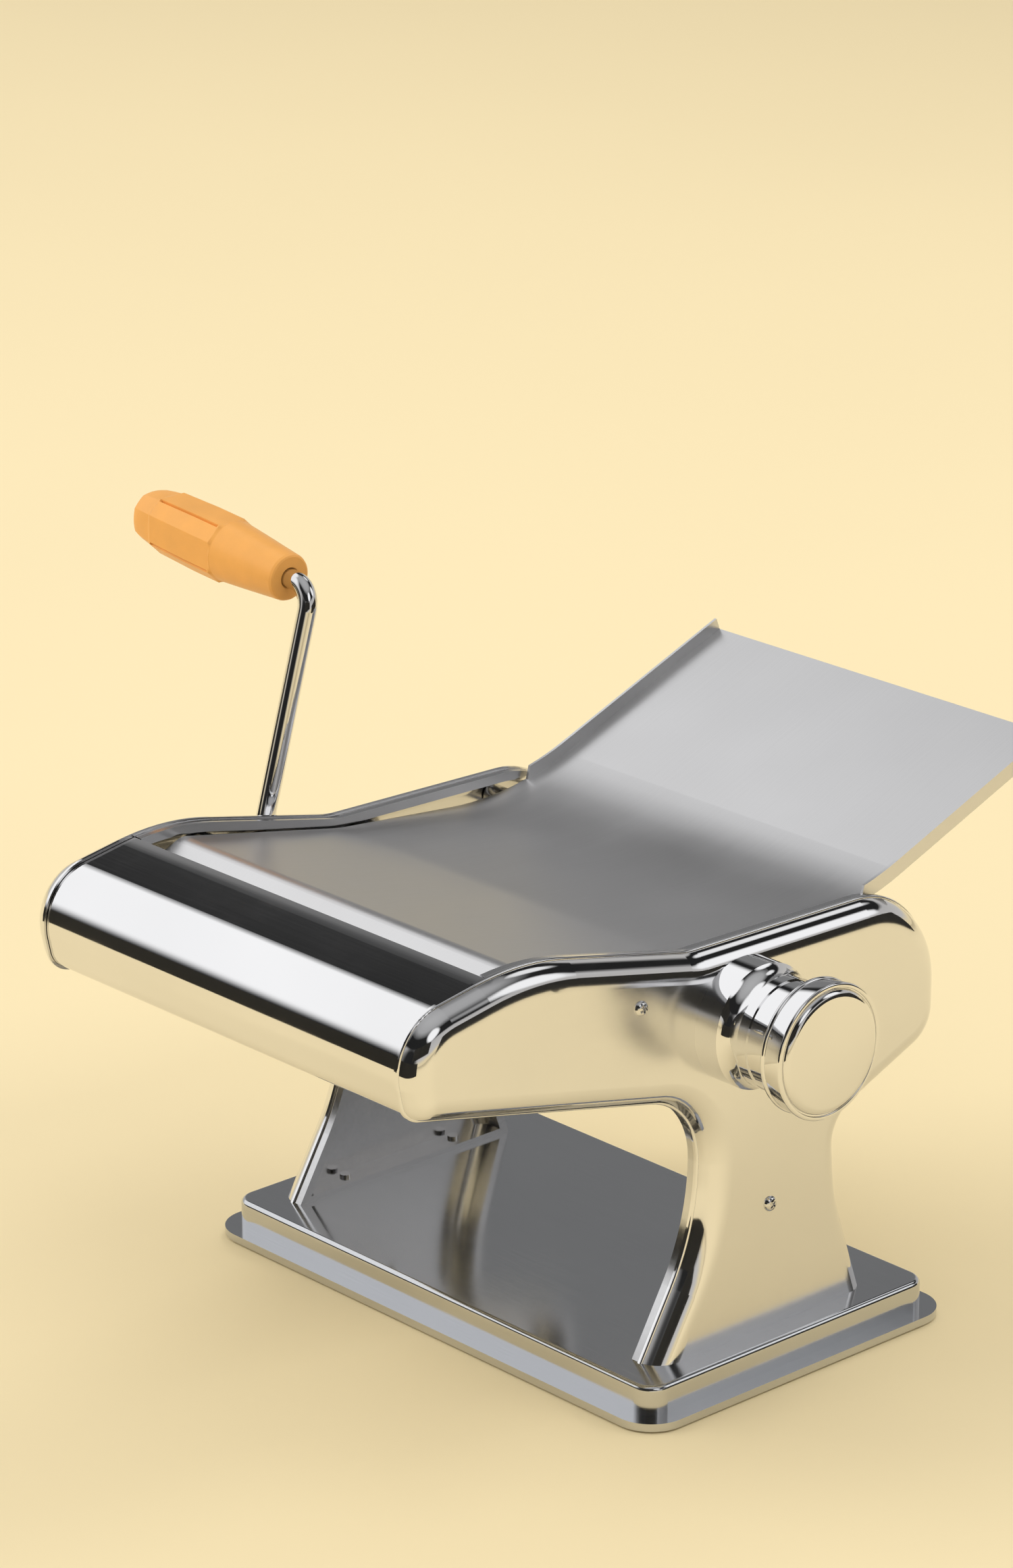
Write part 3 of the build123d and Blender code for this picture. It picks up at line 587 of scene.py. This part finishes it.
class PASTA_OT_screws(bpy.types.Operator):
    """Build the cross-recessed casing screws and finish the screws of the feet"""

    bl_idname = "pasta_machine.screws"
    bl_label = "Screws"

    def points(self, sizes, side, spot, turn):
        """Points of one screw: dome and recess to the side, shank inwards, and the two poles last."""
        points = []
        angles = round_angles(screw_count)
        for ring in range(1, head_rings + 1):
            share = ring / head_rings
            dome = sizes.height * (1.0 - share ** dome_fall) ** dome_fullness
            for angle in angles:
                across = sizes.head * share * math.cos(angle)
                upward = sizes.head * share * math.sin(angle)
                points.append((dome - self.recess(sizes, across, upward, turn), across, upward))
        for along in (0.0, -sizes.reach):
            for angle in angles:
                points.append((along, sizes.shank * math.cos(angle), sizes.shank * math.sin(angle)))
        points.append((sizes.height - sizes.recess_depth, 0.0, 0.0))
        points.append((-sizes.reach, 0.0, 0.0))
        return [Vector((side * (spot[0] + along), spot[1] + y, spot[2] + z)) for along, y, z in points]

    def recess(self, sizes, across, upward, turn):
        """Depth of the cross recess at a point of the head."""
        one = across * math.cos(turn) + upward * math.sin(turn)
        two = upward * math.cos(turn) - across * math.sin(turn)
        depth = 0.0
        for wide, long in ((one, two), (two, one)):
            from_side = (sizes.recess_width / 2 - abs(wide)) / recess_side_slope
            from_end = (sizes.recess_reach - abs(long)) / recess_end_slope
            depth = max(depth, min(1.0, max(0.0, min(from_side, from_end))))
        return depth * sizes.recess_depth

    def execute(self, context):
        sizes = settings(context).screw
        nickel = polished("Screw nickel", settings(context).colours.screw, low=0.06, high=0.14)
        cover(nickel, "foot_screws")
        screw_faces = capped_faces(head_rings + shank_rings, screw_count)
        for side, hand in ((-1, "left"), (1, "right")):
            points, faces = [], []
            for spot, turn in zip(screw_spots, screw_turns):
                faces += [tuple(corner + len(points) for corner in face) for face in screw_faces]
                points += self.points(sizes, side, spot, turn)
            screws = new_piece(f"casing_screws_dressed_{hand}", points, faces, nickel)
            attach(screws, "body")
            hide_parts(f"casing_screws_{hand}")
        return {"FINISHED"}


class PASTA_OT_crank(bpy.types.Operator):
    """Polish the crank rod and its retainer"""

    bl_idname = "pasta_machine.crank"
    bl_label = "Crank Rod"

    def execute(self, context):
        colour = settings(context).colours.crank
        cover(polished("Crank chrome", colour, low=0.03, high=0.08), "crank_rod", "grip_retainer")
        return {"FINISHED"}


# Grip outline from the rod's end to the tail: share of the length, largest radius, share of the facets
grip_outline = (
    (0.0, 0.0077, 0.0),
    (0.004, 0.0083, 0.0),
    (0.016, 0.0087, 0.0),
    (0.10, 0.0093, 0.0),
    (0.25, 0.0104, 0.0),
    (0.398, 0.0114, 0.0),
    (0.402, 0.0115, 0.0),
    (0.414, 0.0123, 1.0),
    (0.60, 0.0123, 1.0),
    (0.845, 0.0118, 1.0),
    (0.858, 0.0112, 0.8),
    (0.90, 0.0108, 0.7),
    (0.955, 0.0101, 0.6),
    (0.985, 0.0094, 0.5),
    (0.997, 0.0085, 0.4),
    (1.0, 0.0077, 0.3),
)
# Four wide and four narrow flats in turn: half-angles, pitch and the middle of a wide one, in degrees
wide_half_angle = 28.0
narrow_half_angle = 17.0
facet_pitch = 90.0
facet_turn = -2.4
# A groove along one edge of each wide flat: half-angle in degrees, shares of the length at its ends
groove_half_angle = 3.0
groove_span = (0.425, 0.838)
# Share of the length over which the end of a groove runs out
groove_run = 0.004
# Points round the grip, and even steps along it
grip_count = 360
grip_steps = 40
# Edges of the grip that are sharper than this stay sharp, in degrees
grip_smooth_angle = 12.0


def from_nearest(angle, place):
    """Angle in degrees from a place on the grip, or from its like on the nearest other flat."""
    half = facet_pitch / 2
    return (math.degrees(angle) - place + half) % facet_pitch - half


def grip_section(share):
    """Largest radius and share of the facets, at a share of the grip's length."""
    for (start, low, flat), (end, high, flatter) in zip(grip_outline, grip_outline[1:]):
        if share <= end:
            part = (share - start) / (end - start)
            return low + (high - low) * part, flat + (flatter - flat) * part
    return grip_outline[-1][1:]


def grip_radius(share, angle, depth):
    """Radius of the grip's skin: wide and narrow flats in turn, with grooves of that depth."""
    radius, facets = grip_section(share)
    offset = abs(from_nearest(angle, facet_turn))
    half_angle = wide_half_angle
    if offset > wide_half_angle:
        offset = facet_pitch / 2 - offset
        half_angle = narrow_half_angle
    flat = math.cos(math.radians(half_angle)) / math.cos(math.radians(offset))
    groove = 0.0
    if groove_span[0] <= share <= groove_span[1]:
        corner = from_nearest(angle, facet_turn - wide_half_angle)
        groove = max(0.0, 1.0 - abs(corner) / groove_half_angle) * depth
    return radius * (1.0 + (flat - 1.0) * facets) - groove


class PASTA_OT_grip(bpy.types.Operator):
    """Build the faceted grip of the crank"""

    bl_idname = "pasta_machine.grip"
    bl_label = "Crank Grip"

    def even(self, *rings):
        """Rings that have the same radius all round: share of the length, radii."""
        return [(share, [radius] * grip_count) for share, radius in rings]

    def rings(self, sizes, angles):
        """The grip's rings from its mouth along its skin into its pocket: share of the length, radii."""
        mouth_share = (sizes.mouth - sizes.bore) / sizes.length
        pocket_share = 1.0 - sizes.pocket_depth / sizes.length
        groove_start, groove_end = groove_span
        shares = {point[0] for point in grip_outline}
        shares |= {groove_start - groove_run, groove_start, groove_end, groove_end + groove_run}
        shares |= {step / grip_steps for step in range(grip_steps + 1)}
        skin = []
        for share in sorted(shares):
            skin.append((share, [grip_radius(share, angle, sizes.groove) for angle in angles]))
        mouth = self.even((mouth_share, sizes.bore), (0.0, sizes.mouth))
        pocket = self.even((1.0, sizes.pocket), (pocket_share, sizes.pocket), (pocket_share, sizes.bore))
        return mouth + skin + pocket

    def execute(self, context):
        sizes = settings(context).grip
        spin = joints["grip_spin"]
        along = Vector(spin["axis"]).normalized()
        start = Vector(spin["pos_m"]) + along * sizes.start
        across = along.cross(Vector((0, 1, 0))).normalized()
        upward = along.cross(across)
        angles = round_angles(grip_count)
        rings = self.rings(sizes, angles)
        points = []
        for share, radii in rings:
            middle = start + along * (sizes.length * share)
            for angle, radius in zip(angles, radii):
                sideways = across * (radius * math.cos(angle))
                points.append(middle + sideways + upward * (radius * math.sin(angle)))
        plastic = moulded(
            "Grip plastic",
            settings(context).colours.grip,
            low=0.28,
            high=0.4,
            contrast=0.08,
            Coat_Weight=0.06,
            Coat_Roughness=0.2,
            Specular_IOR_Level=0.35,
        )
        faces = ring_faces(len(rings), grip_count, closed=True)
        grip = new_piece("grip", points, faces, plastic, grip_smooth_angle)
        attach(grip, "grip")
        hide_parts("crank_grip")
        return {"FINISHED"}


# The room in reflections, above the floor: sine of the angle above level, colour
room_shades = (
    (0.14, (0.60, 0.58, 0.55)),
    (0.45, (0.52, 0.51, 0.50)),
    (0.51, (0.018, 0.018, 0.018)),
    (0.74, (0.018, 0.018, 0.018)),
    (0.88, (0.42, 0.42, 0.42)),
    (1.0, (0.50, 0.50, 0.50)),
)
# The floor's own colour is seen up to this sine
room_floor_top = 0.04
# Soft patches of the room in reflections: middle, half-angles of core and edge in degrees, brightness
glows = (
    ((0.15, -0.98, 0.06), 20.0, 38.0, 0.02),
    ((-0.70, 0.63, 0.34), 7.0, 17.0, 0.22),
    ((-0.717, -0.69, 0.09), 3.0, 16.0, 0.02),
    ((-0.73, -0.42, 0.54), 17.0, 31.0, 1.1),
    ((-0.72, 0.0, 0.69), 17.0, 25.5, 1.1),
    ((0.72, -0.15, 0.68), 9.0, 16.0, 1.1),
    ((0.48, 0.64, 0.60), 9.0, 16.0, 1.1),
    ((-0.20, 0.66, 0.72), 5.0, 11.0, 0.95),
)
even_light_tint = (1.0, 0.985, 0.96, 1.0)
# What the lamps aim at, and the lamps themselves: name, place, width, height, power in watts
lamp_aim = (0.0, -0.02, 0.11)
lamps = (
    ("front softbox", (-3.0, -2.35, 2.75), 3.5, 2.6, 105.0),
    ("back strip left", (-0.72, 1.5, 1.75), 0.8, 0.35, 6.0),
    ("back strip right", (0.78, 1.5, 1.75), 0.8, 0.35, 6.0),
    ("right strip", (1.5, -0.3, 1.5), 1.3, 0.5, 8.0),
)
# Dark cards: name, place, what they face, width, height
flags = (
    ("front flag", (-0.35, -0.45, 0.12), (-0.35, 0.0, 0.12), 1.5, 0.14),
    ("back flag", (1.0, 0.8, 0.28), (0.1, 0.0, 0.28), 1.6, 0.56),
    ("camera flag", (2.3, -2.0, 1.35), (0.0, 0.0, 1.35), 3.2, 1.3),
)
flag_colour = (0.02, 0.02, 0.02)
floor_half = 12.0
camera_place = (1.2449, -1.1705, 0.7840)
camera_turn = Euler((math.radians(70.615), 0.0, math.radians(47.571)))
camera_sensor = 36.0


class PASTA_OT_stage(bpy.types.Operator):
    """Set the floor, the light and the camera"""

    bl_idname = "pasta_machine.stage"
    bl_label = "Stage"

    def floor(self, colour):
        """A wide pale floor with a faint unevenness."""
        corners = [(x * floor_half, y * floor_half, 0.0) for x, y in ((-1, -1), (1, -1), (1, 1), (-1, 1))]
        paint = Finish("Floor paint", Metallic=0.0, Roughness=0.85, Specular_IOR_Level=0.05)
        clouds = paint.noise(scale=1.5, detail=2.0)
        tone = paint.tones(clouds, colour, dark=0.985, light=1.01, start=0.3, end=0.7)
        new_piece("floor", corners, [(0, 1, 2, 3)], paint.wear(Base_Color=tone))

    def lamp(self, name, place, width, height, power):
        """A soft rectangular lamp that reflections leave to the glows of the room."""
        light = bpy.data.lights.new(name, "AREA")
        light.shape = "RECTANGLE"
        light.size = width
        light.size_y = height
        light.energy = power
        lamp = bpy.data.objects.new(name, light)
        lamp.location = place
        lamp.rotation_euler = (Vector(lamp_aim) - Vector(place)).to_track_quat("-Z", "Y").to_euler()
        lamp.visible_camera = False
        lamp.visible_glossy = False
        bpy.context.scene.collection.objects.link(lamp)

    def flag(self, name, place, aim, width, height):
        """A dark card that only polished metal sees."""
        middle = Vector(place)
        facing = (Vector(aim) - middle).normalized()
        sideways = facing.cross(Vector((0, 0, 1))).normalized() * (width / 2)
        upward = Vector((0, 0, height / 2))
        corners = [
            middle - sideways - upward,
            middle + sideways - upward,
            middle + sideways + upward,
            middle - sideways + upward,
        ]
        cloth = Finish("Flag cloth", Metallic=0.0, Roughness=0.9)
        clouds = cloth.noise(scale=3.0, detail=2.0)
        tone = cloth.tones(clouds, flag_colour, dark=0.6, light=1.0, start=0.3, end=0.7)
        card = new_piece(name, corners, [(0, 1, 2, 3)], cloth.wear(Base_Color=tone))
        card.visible_camera = False
        card.visible_diffuse = False
        card.visible_shadow = False

    def glow(self, room, way, shade, middle, core, edge, brightness):
        """The shades of the room with one soft patch over them."""
        near = room.node("ShaderNodeVectorMath", operation="DOT_PRODUCT")
        room.link(way, near.inputs[0])
        near.inputs[1].default_value = Vector(middle).normalized()
        patch = room.node("ShaderNodeMapRange", interpolation_type="SMOOTHSTEP")
        patch.inputs["From Min"].default_value = math.cos(math.radians(edge))
        patch.inputs["From Max"].default_value = math.cos(math.radians(core))
        room.link(near.outputs["Value"], patch.inputs["Value"])
        blend = room.node("ShaderNodeMixRGB")
        room.link(patch.outputs["Result"], blend.inputs["Fac"])
        room.link(shade, blend.inputs["Color1"])
        blend.inputs["Color2"].default_value = (brightness, brightness, brightness, 1.0)
        return blend.outputs["Color"]

    def sky(self, scene, colour, fill):
        """Even light, and a room in reflections: pale walls, a dark band above them and a pale ceiling."""
        scene.world = bpy.data.worlds.new("Studio")
        scene.world.use_nodes = True
        room = NodeTree(scene.world.node_tree)
        even = room.tree.nodes["Background"]
        even.inputs["Color"].default_value = even_light_tint
        even.inputs["Strength"].default_value = fill
        way = room.node("ShaderNodeTexCoord").outputs["Generated"]
        split = room.node("ShaderNodeSeparateXYZ")
        room.link(way, split.inputs["Vector"])
        stops = ((0.0, colour), (room_floor_top, colour), *room_shades)
        shade = room.shades(split.outputs["Z"], stops)
        for glow in glows:
            shade = self.glow(room, way, shade, *glow)
        reflected = room.node("ShaderNodeBackground")
        room.link(shade, reflected.inputs["Color"])
        path = room.node("ShaderNodeLightPath")
        seen = path.outputs["Is Camera Ray"]
        for ray in ("Is Glossy Ray", "Is Transmission Ray"):
            seen = room.together(seen, path.outputs[ray], "MAXIMUM")
        mix = room.node("ShaderNodeMixShader")
        room.link(seen, mix.inputs["Fac"])
        room.link(even.outputs["Background"], mix.inputs[1])
        room.link(reflected.outputs["Background"], mix.inputs[2])
        room.link(mix.outputs["Shader"], room.tree.nodes["World Output"].inputs["Surface"])

    def camera(self, scene, focal_length):
        """The camera at the photograph's viewing angle."""
        lens = bpy.data.cameras.new("Camera")
        lens.lens = focal_length
        lens.sensor_width = camera_sensor
        camera = bpy.data.objects.new("Camera", lens)
        camera.location = camera_place
        camera.rotation_euler = camera_turn
        scene.collection.objects.link(camera)
        scene.camera = camera

    def execute(self, context):
        stage = settings(context).stage
        scene = context.scene
        scene.view_settings.view_transform = "Standard"
        self.floor(tuple(stage.floor))
        self.sky(scene, tuple(stage.floor), stage.fill)
        for lamp in lamps:
            self.lamp(*lamp)
        for flag in flags:
            self.flag(*flag)
        self.camera(scene, stage.lens)
        return {"FINISHED"}


steps = (
    PASTA_OT_stage,
    PASTA_OT_casings,
    PASTA_OT_base,
    PASTA_OT_frames,
    PASTA_OT_tray,
    PASTA_OT_rollers,
    PASTA_OT_bushes,
    PASTA_OT_knob,
    PASTA_OT_screws,
    PASTA_OT_crank,
    PASTA_OT_grip,
)


class PASTA_PT_sidebar(bpy.types.Panel):
    """The steps and settings of the pasta machine"""

    bl_idname = "PASTA_PT_sidebar"
    bl_label = "Pasta Machine"
    bl_space_type = "VIEW_3D"
    bl_region_type = "UI"
    bl_category = "Pasta Machine"

    def draw(self, context):
        for step in steps:
            self.layout.operator(step.bl_idname)
        for group in ("colours", "grip", "screw", "knob", "stage"):
            values = getattr(settings(context), group)
            box = self.layout.box()
            for name in values.__annotations__:
                box.prop(values, name)


classes = (
    PastaMachineColours,
    PastaMachineGrip,
    PastaMachineScrew,
    PastaMachineKnob,
    PastaMachineStage,
    PastaMachineSettings,
    *steps,
    PASTA_PT_sidebar,
)


def register():
    """Adds the classes and the settings."""
    for kind in classes:
        bpy.utils.register_class(kind)
    bpy.types.Scene.pasta_machine = PointerProperty(type=PastaMachineSettings)


def unregister():
    """Takes the classes and the settings away."""
    del bpy.types.Scene.pasta_machine
    for kind in reversed(classes):
        bpy.utils.unregister_class(kind)


def main():
    """Runs every step in order."""
    register()
    for step in steps:
        group, name = step.bl_idname.split(".")
        getattr(getattr(bpy.ops, group), name)()


if __name__ == "__main__":
    main()
